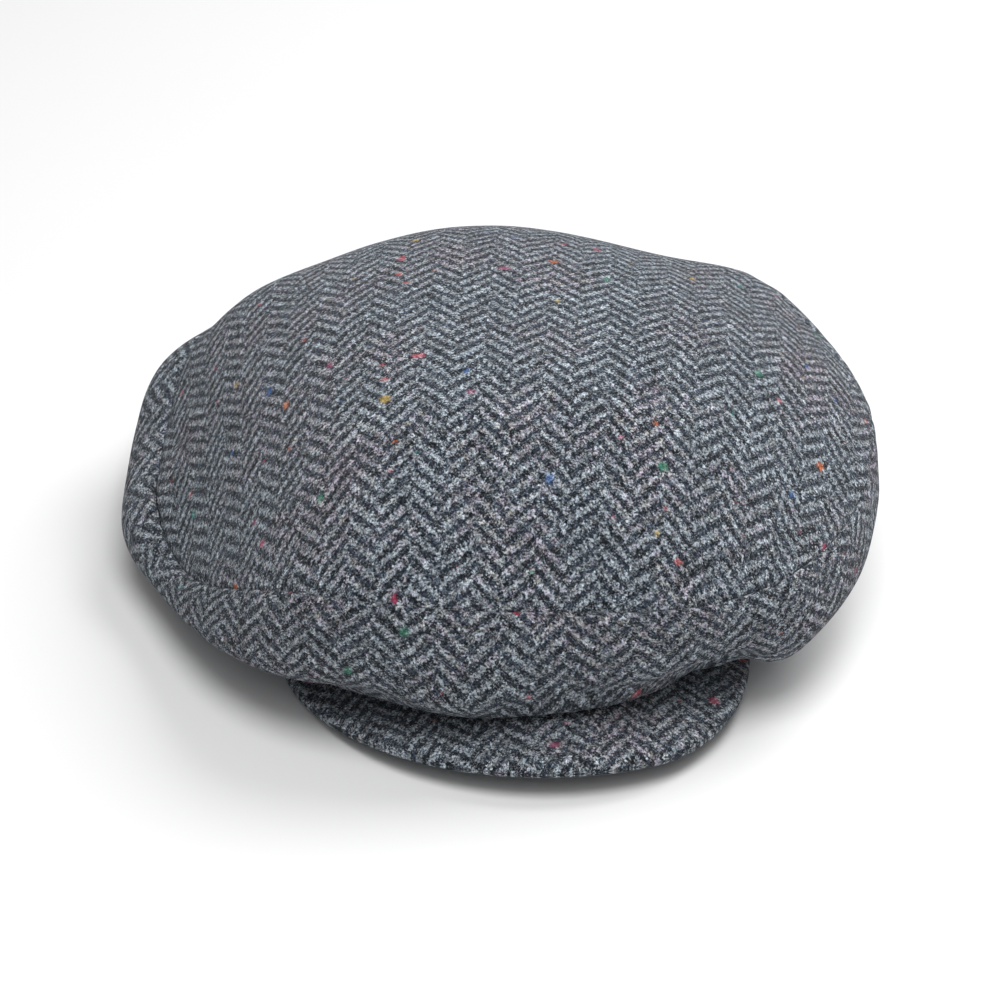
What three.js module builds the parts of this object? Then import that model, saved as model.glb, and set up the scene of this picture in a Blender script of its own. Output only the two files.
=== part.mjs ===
// A soft tweed newsboy cap, in millimetres. +Z is up, the peak points towards -Y, and the cap
// rests on z = 0 on the back and sides of its rim.
//
// The crown is described in upright half-planes that turn about the crown's highest point. In
// each half-plane the cloth is a path of [radius, height] pairs: out from the top, over the seam,
// round the bulge of the side band and in to the rim. Every layer of the crown is an offset of
// that path, and every piece is lofted through it.
import * as THREE from "three";
import { LoftGeometry } from "three/addons/geometries/LoftGeometry.js";

// Head opening: an oval for a 57 cm head. The peak lifts its front off the table.
const HEAD_HALF_WIDTH = 82;
const HEAD_HALF_LENGTH = 98.5;
const FRONT_LIFT = 18;
const LIFT_POWER = 1.5;

// Crown. Lists go round by 45 degrees: front, front right, right, back right, back, back left,
// left, front left, with +X as right. The soft crown slumps towards the left.
const CROWN_TOP = new THREE.Vector3(-7, -22, 113);
const SEAM_RADIUS = [92, 118, 131, 131, 143, 133, 114, 104];
const SEAM_HEIGHT = [64, 62, 70, 72, 59, 58, 34, 66];
const BULGE_RADIUS = [98, 124, 134, 150, 149, 151, 121, 109];
const BULGE_HEIGHT = [41, 40, 52, 50, 39, 32, 24, 38];
const DOME_POWER = [2.6, 2.7, 2.9, 2.7, 3.4, 2.8, 2.9, 2.7];

// How the side band bends, as shares of its way out to the bulge and down to the rim
const OVER_SEAM = { out: 0.6, down: 0.25 };
const TO_BULGE = 0.5;
const UNDER_BULGE = 0.55;
const TO_RIM = { out: 0.35, up: 0.3 };

// Layers of the crown, as depths below the outer face. The side linings stop a little short of
// the seams between them, by an angle.
const TWEED = [0, 1.6];
const INTERLINING = [2.2, 2.9];
const LINING_DEPTH = 3.6;
const LINING_THICKNESS = 0.6;
const LINING_SEAM = 0.3;
const PIECE_GAP = 0.3;

// Sweatband and what is sewn to it, as depths in from the rim
const SWEATBAND_HEIGHT = 34;
const SWEATBAND = [3.0, 4.2];
const TAB_DEPTHS = [4.9, 5.5];
const TAPE = { direction: 180, halfAngle: 7, low: 1, high: 33 };
const SIZE_TAB = { direction: 262, halfAngle: 5, low: 12, high: 28 };

// Blank label sewn under the top lining
const LABEL = { width: 62, length: 38, thickness: 0.5, depth: 5.8 };

// Peak, swept about the middle of the head opening
const PEAK_DEPTH = 37;
const PEAK_HALF_ANGLE = 74;
const COVER_END = 0.82;
const BOARD_END = 0.76;
const PEAK_ROUNDING = 1.6;
const PEAK_TAPER = 0.8;
const PEAK_SLOPE = THREE.MathUtils.degToRad(10);
const PEAK_SEAM_GAP = 9;
const BOARD_HALF_THICKNESS = 0.8;
const BOARD_INSET = [1.5, 2.6];
const COVER_INNER = 1.1;
const COVER_OUTER = 2.4;
const COVER_WALL = 1.3;
const COVER_ROUND = 1.4;
const COVER_SPLIT = 0.15;
const COVER_SHOULDER = { in: 0.35, down: 0.84 };

// Facets
const DIRECTIONS = 40;
const DOME_STEPS = 8;
const BAND_STEPS = 4;
const STRIP_STEPS = 8;
const PEAK_SECTIONS = 25;
const LABEL_STEPS = 6;
const SMALLEST_TRIANGLE = 1e-6;

// Colours and roughness
const TWEED_GREY = 0x5c5e63;
const CANVAS_GREY = 0x2a2a2a;
const SATIN_BLACK = 0x1b1c20;
const COTTON_BLACK = 0x17171a;
const LABEL_CREAM = 0xd8d4c8;
const BOARD_BLACK = 0x1d1d1f;
const FABRIC_ROUGHNESS = 0.95;
const PLASTIC_ROUGHNESS = 0.5;

const FULL_TURN = 2 * Math.PI;
const EIGHTH_TURN = Math.PI / 4;
const degrees = THREE.MathUtils.degToRad;
const mix = THREE.MathUtils.lerp;

// The value in a direction, on a smooth curve through eight values placed round the circle
function around(values, direction) {
  const place = (((direction % FULL_TURN) + FULL_TURN) % FULL_TURN) / EIGHTH_TURN;
  const first = Math.floor(place);
  const t = place - first;
  const [a, b, c, d] = [-1, 0, 1, 2].map((step) => values[(first + step + 8) % 8]);
  return b + 0.5 * t * (c - a + t * (2 * a - 5 * b + 4 * c - d + t * (3 * (b - c) + d - a)));
}

// Height of the rim's lower edge above the table
function rimHeight(y) {
  return FRONT_LIFT * Math.max(0, -y / HEAD_HALF_LENGTH) ** LIFT_POWER;
}

// Distance from a point inside the head opening to its oval edge
function distanceToRim(x, y, direction) {
  const across = Math.sin(direction) / HEAD_HALF_WIDTH;
  const along = -Math.cos(direction) / HEAD_HALF_LENGTH;
  const a = across ** 2 + along ** 2;
  const b = (across * x) / HEAD_HALF_WIDTH + (along * y) / HEAD_HALF_LENGTH;
  const c = (x / HEAD_HALF_WIDTH) ** 2 + (y / HEAD_HALF_LENGTH) ** 2 - 1;
  return (-b + Math.sqrt(b * b - a * c)) / a;
}

// The rim's [radius, height] in a half-plane of the crown
function rimPoint(direction) {
  const radius = distanceToRim(CROWN_TOP.x, CROWN_TOP.y, direction);
  return [radius, rimHeight(CROWN_TOP.y - radius * Math.cos(direction))];
}

function bezier(points, steps) {
  const curve = new THREE.CubicBezierCurve(...points.map(([r, z]) => new THREE.Vector2(r, z)));
  return curve.getPoints(steps).map((point) => [point.x, point.y]);
}

// The outer face in one half-plane. The seam is at index DOME_STEPS, the rim is last.
function crownPath(direction) {
  const seam = [around(SEAM_RADIUS, direction), around(SEAM_HEIGHT, direction)];
  const bulge = [around(BULGE_RADIUS, direction), around(BULGE_HEIGHT, direction)];
  const rim = rimPoint(direction);
  const power = around(DOME_POWER, direction);
  const path = [];
  for (let step = 0; step <= DOME_STEPS; step += 1) {
    const share = Math.sin((step / DOME_STEPS) * (Math.PI / 2));
    path.push([share * seam[0], CROWN_TOP.z - (CROWN_TOP.z - seam[1]) * share ** power]);
  }
  const fall = seam[1] - bulge[1];
  const rise = bulge[1] - rim[1];
  const upper = [
    seam,
    [mix(seam[0], bulge[0], OVER_SEAM.out), seam[1] - OVER_SEAM.down * fall],
    [bulge[0], bulge[1] + TO_BULGE * fall],
    bulge,
  ];
  const lower = [
    bulge,
    [bulge[0], bulge[1] - UNDER_BULGE * rise],
    [mix(rim[0], bulge[0], TO_RIM.out), rim[1] + TO_RIM.up * rise],
    rim,
  ];
  path.push(...bezier(upper, BAND_STEPS).slice(1), ...bezier(lower, BAND_STEPS).slice(1));
  return path;
}

// A path moved inwards by a depth, with mitred corners. Its top moves down and its end moves level.
function inset(path, depth) {
  const sides = path.slice(1).map(([r, z], i) => {
    const [dr, dz] = [r - path[i][0], z - path[i][1]];
    const length = Math.hypot(dr, dz);
    return [-dz / length, dr / length];
  });
  return path.map(([r, z], i) => {
    if (i === 0) return [r, z - depth];
    if (i === sides.length) return [r - depth, z];
    const [before, after] = [sides[i - 1], sides[i]];
    const scale = depth / (1 + before[0] * after[0] + before[1] * after[1]);
    return [r - (before[0] + after[0]) * scale, z - (before[1] + after[1]) * scale];
  });
}

// The same path with one end drawn back by half the gap between two pieces
function drawBack(path, atStart) {
  const points = atStart ? path : [...path].reverse();
  const [[r, z], [nextR, nextZ]] = points;
  const share = PIECE_GAP / 2 / Math.hypot(nextR - r, nextZ - z);
  const trimmed = [[mix(r, nextR, share), mix(z, nextZ, share)], ...points.slice(1)];
  return atStart ? trimmed : trimmed.reverse();
}

// The closed outline of a layer: down its inner face and back up its outer face
function layer(path, [near, far], from, to) {
  const cut = (points) => {
    const piece = points.slice(from, to);
    const opened = from > 0 ? drawBack(piece, true) : piece;
    return to < points.length ? drawBack(opened, false) : opened;
  };
  return [...cut(inset(path, far)), ...cut(inset(path, near)).reverse()];
}

// The lining hangs from the seam and goes straight to the top of the sweatband
function liningPath(direction) {
  const dome = inset(crownPath(direction), LINING_DEPTH).slice(0, DOME_STEPS + 1);
  const [rimRadius, rimZ] = rimPoint(direction);
  const seam = dome[DOME_STEPS];
  const end = [rimRadius - SWEATBAND[0], rimZ + SWEATBAND_HEIGHT + 2 * PIECE_GAP];
  for (let step = 1; step <= STRIP_STEPS; step += 1) {
    dome.push([mix(seam[0], end[0], step / STRIP_STEPS), mix(seam[1], end[1], step / STRIP_STEPS)]);
  }
  return dome;
}

function place([radius, height], direction) {
  return new THREE.Vector3(
    CROWN_TOP.x + radius * Math.sin(direction),
    CROWN_TOP.y - radius * Math.cos(direction),
    height,
  );
}

// Directions from one angle to another, in degrees, at the crown's own facets
function sweep(from, to) {
  const facet = 360 / DIRECTIONS;
  const inside = [];
  for (let angle = Math.ceil(from / facet) * facet; angle < to; angle += facet) {
    if (angle > from) inside.push(angle);
  }
  return [from, ...inside, to].map(degrees);
}

// Rings of the layer's outline, one for each of its points, all the way round the crown
function ringsOf(outline) {
  const loops = Array.from({ length: DIRECTIONS }, (_, i) => {
    const direction = (i / DIRECTIONS) * FULL_TURN;
    return outline(direction).map((point) => place(point, direction));
  });
  return loops[0].map((_, level) => loops.map((loop) => loop[level]));
}

// A dome: from the middle of its inner face to the edge, and back to the middle of its outer
// face. Its first and last rings are single points, so their flat triangles are dropped.
function domeSolid(outline) {
  const loft = new LoftGeometry(ringsOf(outline));
  const at = loft.getAttribute("position");
  const [a, b, c] = [0, 1, 2].map(() => new THREE.Vector3());
  const kept = [];
  for (let i = 0; i < loft.index.count; i += 3) {
    const corners = [0, 1, 2].map((step) => loft.index.getX(i + step));
    [a, b, c].forEach((corner, step) => corner.fromBufferAttribute(at, corners[step]));
    if (b.sub(a).cross(c.sub(a)).length() > SMALLEST_TRIANGLE) kept.push(...corners);
  }
  return loft.setIndex(kept);
}

function ringSolid(outline) {
  const rings = ringsOf(outline);
  return new LoftGeometry([...rings, rings[0]]);
}

// A strip along part of the way round, closed at both ends
function stripSolid(outline, from, to) {
  const sections = sweep(from, to).map((direction) =>
    outline(direction).map((point) => place(point, direction)).reverse(),
  );
  return new LoftGeometry(sections, { capStart: true, capEnd: true });
}

// An upright wall inside the rim, between two depths
function wallOutline(direction, [near, far], low, high) {
  const [radius, height] = rimPoint(direction);
  return [
    [radius - far, height + high],
    [radius - far, height + low],
    [radius - near, height + low],
    [radius - near, height + high],
  ];
}

function tabSolid({ direction, halfAngle, low, high }) {
  const outline = (angle) => wallOutline(angle, TAB_DEPTHS, low, high);
  return stripSolid(outline, direction - halfAngle, direction + halfAngle);
}

function liningSide(from, to) {
  const end = DOME_STEPS + STRIP_STEPS + 1;
  const outline = (direction) => layer(liningPath(direction), [0, LINING_THICKNESS], DOME_STEPS, end);
  return stripSolid(outline, from, to);
}

// The underside of the dome at a depth, for what is sewn under the top lining
function domeUnderside(x, y, depth) {
  const [dx, dy] = [x - CROWN_TOP.x, y - CROWN_TOP.y];
  const direction = Math.atan2(dx, -dy);
  const share = Math.hypot(dx, dy) / around(SEAM_RADIUS, direction);
  const drop = (CROWN_TOP.z - around(SEAM_HEIGHT, direction)) * share ** around(DOME_POWER, direction);
  return CROWN_TOP.z - drop - depth;
}

function labelSolid() {
  const { width, length, thickness, depth } = LABEL;
  const steps = Array.from({ length: LABEL_STEPS + 1 }, (_, i) => i / LABEL_STEPS - 0.5);
  const row = (y, extra) =>
    steps.map((share) => {
      const x = CROWN_TOP.x + share * width;
      return new THREE.Vector3(x, y, domeUnderside(x, y, depth + extra));
    });
  const sections = steps.map((share) => {
    const y = CROWN_TOP.y + share * length;
    return [...row(y, 0), ...row(y, thickness).reverse()];
  });
  return new LoftGeometry(sections, { capStart: true, capEnd: true });
}

// Peak: how far it stands out from the rim, at a share of its half angle
function peakDepth(share) {
  return PEAK_DEPTH * (1 - Math.abs(share) ** PEAK_ROUNDING) ** PEAK_TAPER;
}

// A peak layer, lofted from its right end to its left. The outline gives [outwards, height] pairs.
function peakSolid(outline, end) {
  const sections = Array.from({ length: PEAK_SECTIONS }, (_, i) => {
    const share = end * (1 - (2 * i) / (PEAK_SECTIONS - 1));
    const direction = share * degrees(PEAK_HALF_ANGLE);
    const rim = distanceToRim(0, 0, direction);
    const base = rimHeight(-rim * Math.cos(direction));
    return outline(peakDepth(share)).map(([out, up]) => {
      const radius = rim + out;
      const height = base + up - Math.tan(PEAK_SLOPE) * out;
      return new THREE.Vector3(radius * Math.sin(direction), -radius * Math.cos(direction), height);
    });
  });
  return new LoftGeometry(sections, { capStart: true, capEnd: true });
}

function boardOutline(depth) {
  const start = PEAK_SEAM_GAP + BOARD_INSET[0];
  const end = depth - BOARD_INSET[1];
  return [
    [start, -BOARD_HALF_THICKNESS],
    [end, -BOARD_HALF_THICKNESS],
    [end, BOARD_HALF_THICKNESS],
    [start, BOARD_HALF_THICKNESS],
  ];
}

// The cover's edge turns over the board and stops at the edge seam
function topCoverOutline(depth) {
  return [
    [PEAK_SEAM_GAP, COVER_INNER],
    [depth - COVER_WALL - COVER_SPLIT, COVER_INNER],
    [depth - COVER_WALL, COVER_SPLIT],
    [depth, COVER_SPLIT],
    [depth - COVER_SHOULDER.in, COVER_OUTER - COVER_SHOULDER.down],
    [depth - COVER_ROUND, COVER_OUTER],
    [mix(PEAK_SEAM_GAP, depth, 0.5), COVER_OUTER],
    [PEAK_SEAM_GAP, COVER_OUTER],
  ];
}

function underCoverOutline(depth) {
  return topCoverOutline(depth).map(([out, up]) => [out, -up]).reverse();
}

const cap = new THREE.Group();
function add(name, geometry, color, roughness = FABRIC_ROUGHNESS) {
  const material = new THREE.MeshStandardMaterial({ color, roughness, metalness: 0 });
  const mesh = new THREE.Mesh(geometry, material);
  mesh.name = name;
  cap.add(mesh);
}

const pathEnd = DOME_STEPS + 2 * BAND_STEPS + 1;
const topLayer = (depths) => (direction) => layer(crownPath(direction), depths, 0, DOME_STEPS + 1);
const bandLayer = (depths, end) => (direction) => layer(crownPath(direction), depths, DOME_STEPS, end);
const topLining = (direction) => layer(liningPath(direction), [0, LINING_THICKNESS], 0, DOME_STEPS + 1);
const sweatbandWall = (direction) => wallOutline(direction, SWEATBAND, 0, SWEATBAND_HEIGHT);

add("crown_top_panel", domeSolid(topLayer(TWEED)), TWEED_GREY);
add("crown_side_band", ringSolid(bandLayer(TWEED, pathEnd)), TWEED_GREY);
add("top_interlining", domeSolid(topLayer(INTERLINING)), CANVAS_GREY);
add("band_interlining", ringSolid(bandLayer(INTERLINING, pathEnd - 1)), CANVAS_GREY);
add("lining_top", domeSolid(topLining), SATIN_BLACK);
add("lining_side_right", liningSide(LINING_SEAM, 180 - LINING_SEAM), SATIN_BLACK);
add("lining_side_left", liningSide(180 + LINING_SEAM, 360 - LINING_SEAM), SATIN_BLACK);
add("sweatband", ringSolid(sweatbandWall), COTTON_BLACK);
add("sweatband_back_tape", tabSolid(TAPE), COTTON_BLACK);
add("size_tab", tabSolid(SIZE_TAB), LABEL_CREAM);
add("label", labelSolid(), LABEL_CREAM);
add("peak_top_cover", peakSolid(topCoverOutline, COVER_END), TWEED_GREY);
add("peak_under_cover", peakSolid(underCoverOutline, COVER_END), TWEED_GREY);
add("peak_board", peakSolid(boardOutline, BOARD_END), BOARD_BLACK, PLASTIC_ROUGHNESS);

// The origin is the middle of the cap's box, on the table
const box = new THREE.Box3().setFromObject(cap);
const middle = box.getCenter(new THREE.Vector3());
cap.position.set(-middle.x, -middle.y, -box.min.z);

export default cap;
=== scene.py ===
"""Looks for the tweed newsboy cap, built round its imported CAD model.

Shapes are worked out in millimetres and placed in the row frame in metres. The crown is the
same family of half-plane paths as the CAD model's, at a finer step: out from the highest point,
over the seam, round the bulge of the side band and in to the rim. Slack cloth then settles over
that form by simulation, and every inner layer follows the settled cloth.
"""

import math

import bpy
import numpy as np
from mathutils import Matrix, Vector


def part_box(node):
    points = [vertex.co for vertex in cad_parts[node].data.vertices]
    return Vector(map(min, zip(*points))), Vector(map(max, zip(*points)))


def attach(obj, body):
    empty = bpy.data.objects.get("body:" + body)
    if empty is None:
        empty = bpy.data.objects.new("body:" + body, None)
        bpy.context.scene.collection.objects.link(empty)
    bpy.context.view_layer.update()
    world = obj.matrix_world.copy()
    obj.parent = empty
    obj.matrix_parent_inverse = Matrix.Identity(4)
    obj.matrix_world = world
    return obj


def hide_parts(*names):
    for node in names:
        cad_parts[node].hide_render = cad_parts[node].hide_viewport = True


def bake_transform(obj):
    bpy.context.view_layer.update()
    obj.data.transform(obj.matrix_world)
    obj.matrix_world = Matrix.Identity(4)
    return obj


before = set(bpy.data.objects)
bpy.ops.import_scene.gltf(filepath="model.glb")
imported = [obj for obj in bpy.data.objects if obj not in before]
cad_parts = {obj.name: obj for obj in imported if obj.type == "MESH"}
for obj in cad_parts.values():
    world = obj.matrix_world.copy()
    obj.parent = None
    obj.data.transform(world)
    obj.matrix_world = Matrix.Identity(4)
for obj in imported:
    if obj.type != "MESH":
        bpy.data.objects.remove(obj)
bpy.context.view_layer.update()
MM = 0.001

# ---------------------------------------------------------------- sizes, in millimetres

# The head opening's middle comes from the frame: the sweatband is an oval round it
sweat_low, sweat_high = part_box("sweatband")
HEAD = ((np.array(sweat_low) + np.array(sweat_high)) / 2 / MM)[:2]
HEAD_HALF_WIDTH = 82.0
HEAD_HALF_LENGTH = 98.5
FRONT_LIFT = 18.0
LIFT_POWER = 1.5

# Crown lists go round by 45 degrees: front, front right, right, ... with +X as right
CROWN_TOP = np.array([HEAD[0] - 7, HEAD[1] - 22, 113.0])
SEAM_RADIUS = [92, 118, 131, 131, 143, 133, 114, 104]
SEAM_HEIGHT = [64, 62, 70, 72, 59, 58, 34, 66]
BULGE_RADIUS = [98, 124, 134, 150, 149, 151, 121, 109]
BULGE_HEIGHT = [41, 40, 52, 50, 39, 32, 24, 38]
DOME_POWER = [2.6, 2.7, 2.9, 2.7, 3.4, 2.8, 2.9, 2.7]

TWEED_THICKNESS = 1.5
INTERLINING_DEPTH = 2.1
INTERLINING_THICKNESS = 0.6
LINING_DEPTH = 3.4
LINING_THICKNESS = 0.4
LABEL_DEPTH = 5.0

SWEATBAND_DEPTH = 3.0
SWEATBAND_THICKNESS = 1.2
SWEATBAND_HEIGHT = 34.0
TAB_DEPTH = 4.9
TAB_THICKNESS = 0.6
TAPE_HALF_ANGLE = math.radians(7)
TAPE_HEIGHTS = (1, 33)
TAB_DIRECTION = math.radians(262)
TAB_HALF_ANGLE = math.radians(5)
TAB_HEIGHTS = (12, 28)

PEAK_DEPTH = 38.0
PEAK_HALF_ANGLE = math.radians(74)
PEAK_MIDDLE = 0.19
PEAK_LEFT = {"reach": 1.3, "rounding": 1.55, "taper": 0.665}
PEAK_RIGHT = {"reach": 0.66, "rounding": 1.55, "taper": 1.47}
PEAK_ENDS = (-0.93, PEAK_MIDDLE + 0.97 * PEAK_RIGHT["reach"])
PEAK_SLOPE = math.radians(10)
PEAK_HALF_THICKNESS = 2.4
PEAK_CLOTH = 1.2
# Each cover starts inside the rim, near the middle plane, and is at full height from PEAK_ROOT on
PEAK_TUCK = 2.5
PEAK_TOP_START = -0.2
PEAK_UNDER_START = -1.6 - PEAK_CLOTH
PEAK_ROOT = 9.0
PEAK_LAST_ROW_IN = 0.35
PEAK_STEPS = 180
PEAK_ROWS = 28
BOARD_ENDS = (-0.76, 0.53)
BOARD_ROOT = 10.5
BOARD_INSET = 2.6
BOARD_HALF_THICKNESS = 0.8
BOARD_EDGE_RADIUS = 0.3

# Grid of the crown: cells across the top panel, and rows down the side band
TOP_CELLS = 96
BAND_ROWS = 26
AROUND = 4 * TOP_CELLS
EDGE_CROWDING = 0.45
ROW_CROWDING = 1.15
FULL_TURN = 2 * math.pi

# The band's edge turns in at the rim and up inside: steps in and up from the rim's point
HEM = [(-0.7, -0.1), (-1.4, 0.3), (-1.7, 1.4), (-1.8, 4.0), (-1.8, 8.0)]

# Swellings and hollows of the soft crown: middle from the head's middle, reach, and height
SWELLS = [
    ((-114, 74, 50), 34, 4.0),
    ((-132, 6, 22), 34, 4.5),
    ((-84, 66, 79), 34, 4.5),
    ((96, 52, 76), 34, 6.0),
    ((46, -108, 36), 38, -7.0),
    ((60, -106, 32), 24, -5.5),
    ((73, -101, 22), 19, 7.0),
    ((-32, -116, 30), 32, 5.0),
    ((-66, -102, 30), 30, -3.0),
]

# Where the front's underside comes down over the peak: the gap left, and the region
REST_GAP = 1.8
REST_SHARE = 0.85
REST_ANGLES = (math.radians(72), math.radians(22))
REST_OUT = (4.0, 22.0, 6.0)
REST_HEIGHT = (19.0, 9.0)

# The seam round the top panel: its groove, and the puckers that the stitching makes
SEAM_GROOVE = 0.8
SEAM_REACH = 1.5
PUCKERS = 74
PUCKER_HEIGHT = 0.35
PUCKER_REACH = 6.0

# Settling of the slack cloth
SLACK = 0.035
SETTLE_FRAMES = 24
SETTLE_LIMIT = 4.0
SETTLE_SMOOTHING = 16

# Cloth: the herringbone's yarns, and how far the crown's grain is turned from the cap's axis
END_PITCH = 1.72
PICK_PITCH = 1.53
ENDS_IN_COLUMN = 6
CROWN_GRAIN = math.radians(-12)
COLUMN_SHIFT = 4.5

# ---------------------------------------------------------------- shape functions


def around(values, direction):
    """Values on a smooth curve through eight values placed round the circle."""
    v = np.array(values, float)
    place = np.mod(direction, FULL_TURN) / (FULL_TURN / 8)
    first = np.floor(place).astype(int)
    t = place - first
    a, b, c, d = (v[(first + step) % 8] for step in (-1, 0, 1, 2))
    return b + 0.5 * t * (c - a + t * (2 * a - 5 * b + 4 * c - d + t * (3 * (b - c) + d - a)))


def rim_height(y):
    """Height of the rim over the table. y is measured from the head's middle."""
    return FRONT_LIFT * np.maximum(0, -y / HEAD_HALF_LENGTH) ** LIFT_POWER


def distance_to_rim(x, y, direction):
    """From a point given from the head's middle to the oval, in a direction."""
    across, along = np.sin(direction) / HEAD_HALF_WIDTH, -np.cos(direction) / HEAD_HALF_LENGTH
    a = across**2 + along**2
    b = across * x / HEAD_HALF_WIDTH + along * y / HEAD_HALF_LENGTH
    c = (x / HEAD_HALF_WIDTH) ** 2 + (y / HEAD_HALF_LENGTH) ** 2 - 1
    return (-b + np.sqrt(b * b - a * c)) / a


def rim_point(direction):
    """The rim's radius and height, in a half-plane of the crown."""
    x, y = CROWN_TOP[:2] - HEAD
    radius = distance_to_rim(x, y, direction)
    return radius, rim_height(y - radius * np.cos(direction))


def dome_height(x, y):
    """The top panel's height at a place given from the crown's highest point."""
    direction = np.arctan2(x, -y)
    share = np.hypot(x, y) / around(SEAM_RADIUS, direction)
    drop = CROWN_TOP[2] - around(SEAM_HEIGHT, direction)
    return CROWN_TOP[2] - drop * share ** around(DOME_POWER, direction)


def bezier(p0, p1, p2, p3, t):
    return (1 - t) ** 3 * p0 + 3 * (1 - t) ** 2 * t * p1 + 3 * (1 - t) * t * t * p2 + t**3 * p3


def ease(t):
    """A smooth step from 0 to 1."""
    t = np.clip(t, 0, 1)
    return t * t * (3 - 2 * t)


def band_path(direction, t):
    """The side band's radius and height: t runs 0 to 1 to the bulge, and 1 to 2 to the rim."""
    seam = np.array([around(SEAM_RADIUS, direction), around(SEAM_HEIGHT, direction)])
    bulge = np.array([around(BULGE_RADIUS, direction), around(BULGE_HEIGHT, direction)])
    rim = np.array(rim_point(direction))
    fall, rise = seam[1] - bulge[1], bulge[1] - rim[1]
    over = np.array([0.4 * seam[0] + 0.6 * bulge[0], seam[1] - 0.25 * fall])
    down = np.array([bulge[0], bulge[1] + 0.5 * fall])
    under = np.array([bulge[0], bulge[1] - 0.55 * rise])
    inward = np.array([0.65 * rim[0] + 0.35 * bulge[0], rim[1] + 0.3 * rise])
    upper = bezier(seam, over, down, bulge, np.minimum(t, 1))
    lower = bezier(bulge, under, inward, rim, np.maximum(t - 1, 0))
    return np.where(t <= 1, upper, lower)


def place(radius, height, direction, centre=CROWN_TOP):
    """Points in the row frame from half-plane values round a centre."""
    x = centre[0] + radius * np.sin(direction)
    y = centre[1] - radius * np.cos(direction)
    return np.stack([x, y, height + 0 * x], axis=-1)


def ripple(direction, counts, seed):
    """A wandering wave round the cap, from about -1 to 1."""
    rng = np.random.default_rng(seed)
    waves = [rng.uniform(0.5, 1) * np.sin(n * direction + rng.uniform(0, FULL_TURN))
             for n in counts]
    return sum(waves) / math.sqrt(len(counts))


# ---------------------------------------------------------------- mesh helpers


def mesh_object(name, points, faces, weave=None):
    """A smooth-shaded mesh from points in millimetres. weave gives cloth places, in millimetres."""
    mesh = bpy.data.meshes.new(name)
    mesh.from_pydata((np.asarray(points) * MM).tolist(), [], [list(map(int, f)) for f in faces])
    if weave is not None:
        layer = mesh.uv_layers.new(name="weave")
        corners = np.zeros(len(mesh.loops), int)
        mesh.loops.foreach_get("vertex_index", corners)
        layer.data.foreach_set("uv", np.asarray(weave, np.float32)[corners].ravel())
    mesh.shade_smooth()
    made = bpy.data.objects.new(name, mesh)
    bpy.context.scene.collection.objects.link(made)
    return made


def read_points(mesh):
    co = np.zeros(len(mesh.vertices) * 3)
    mesh.vertices.foreach_get("co", co)
    return co.reshape(-1, 3) / MM


def normals_of(points, faces):
    """Unit normals at a mesh's points, pointing to where its faces look."""
    points, faces = np.asarray(points), np.asarray(faces)
    a, b, c, d = (points[faces[:, k]] for k in range(4))
    face = np.cross(c - a, d - b)
    total = np.zeros_like(points)
    for k in range(4):
        np.add.at(total, faces[:, k], face)
    return total / np.maximum(np.linalg.norm(total, axis=1, keepdims=True), 1e-9)


def apply_modifiers(obj):
    """Bakes the object's modifiers into its mesh."""
    graph = bpy.context.evaluated_depsgraph_get()
    mesh = bpy.data.meshes.new_from_object(obj.evaluated_get(graph))
    obj.modifiers.clear()
    obj.data = mesh
    return obj


def cloth_piece(name, points, faces, weave, thickness, smooth=0):
    """A sheet with its thickness inwards from the face given, refined by subdivision."""
    obj = mesh_object(name, points, faces, weave)
    if smooth:
        finer = obj.modifiers.new("finer", "SUBSURF")
        finer.levels = finer.render_levels = smooth
    solid = obj.modifiers.new("thickness", "SOLIDIFY")
    solid.thickness = thickness * MM
    solid.offset = -1
    return apply_modifiers(obj)


def strip_faces(rows, columns, wrap):
    """Quads between rows of points, looking out when rows go down and columns go round."""
    faces = []
    for r in range(rows - 1):
        for c in range(columns if wrap else columns - 1):
            right = (c + 1) % columns
            faces.append((r * columns + c, (r + 1) * columns + c,
                          (r + 1) * columns + right, r * columns + right))
    return faces


def stitches(name, start, end, lift, thread=0.35, sides=6):
    """One mesh of short stitches, each an arched strand from a start to an end point."""
    start, end, lift = (np.asarray(a, float) for a in (start, end, lift))
    along = end - start
    across = np.cross(lift, along)
    across /= np.linalg.norm(across, axis=1, keepdims=True)
    rings, faces = [], []
    shares = [0, 0.12, 0.5, 0.88, 1]
    widths = [0.25, 0.85, 1, 0.85, 0.25]
    for share, width in zip(shares, widths):
        middle = start + along * share + lift * thread * (math.sin(math.pi * share) - 0.35)
        for k in range(sides):
            a = FULL_TURN * k / sides
            rings.append(middle + width * thread * (across * math.cos(a) + lift * math.sin(a)))
    points = np.stack(rings, axis=1)
    per = points.shape[1]
    for n in range(len(start)):
        base = n * per
        for r in range(len(shares) - 1):
            for k in range(sides):
                right = (k + 1) % sides
                faces.append((base + r * sides + k, base + r * sides + right,
                              base + (r + 1) * sides + right, base + (r + 1) * sides + k))
        faces.append(tuple(base + k for k in reversed(range(sides))))
        faces.append(tuple(base + per - sides + k for k in range(sides)))
    return mesh_object(name, points.reshape(-1, 3), faces)


# ---------------------------------------------------------------- crown skin


def disc_grid():
    """The radius share and direction of each point of a square grid bent into a disc."""
    steps = np.linspace(-1, 1, TOP_CELLS + 1)
    a, b = np.meshgrid(steps, steps, indexing="ij")
    wide = np.abs(a) >= np.abs(b)
    share = np.where(wide, a, b)
    with np.errstate(divide="ignore", invalid="ignore"):
        angle = np.where(wide, math.pi / 4 * b / a, math.pi / 2 - math.pi / 4 * a / b)
    angle = np.nan_to_num(angle)
    return np.abs(share), np.where(share < 0, angle + math.pi, angle)


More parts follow.
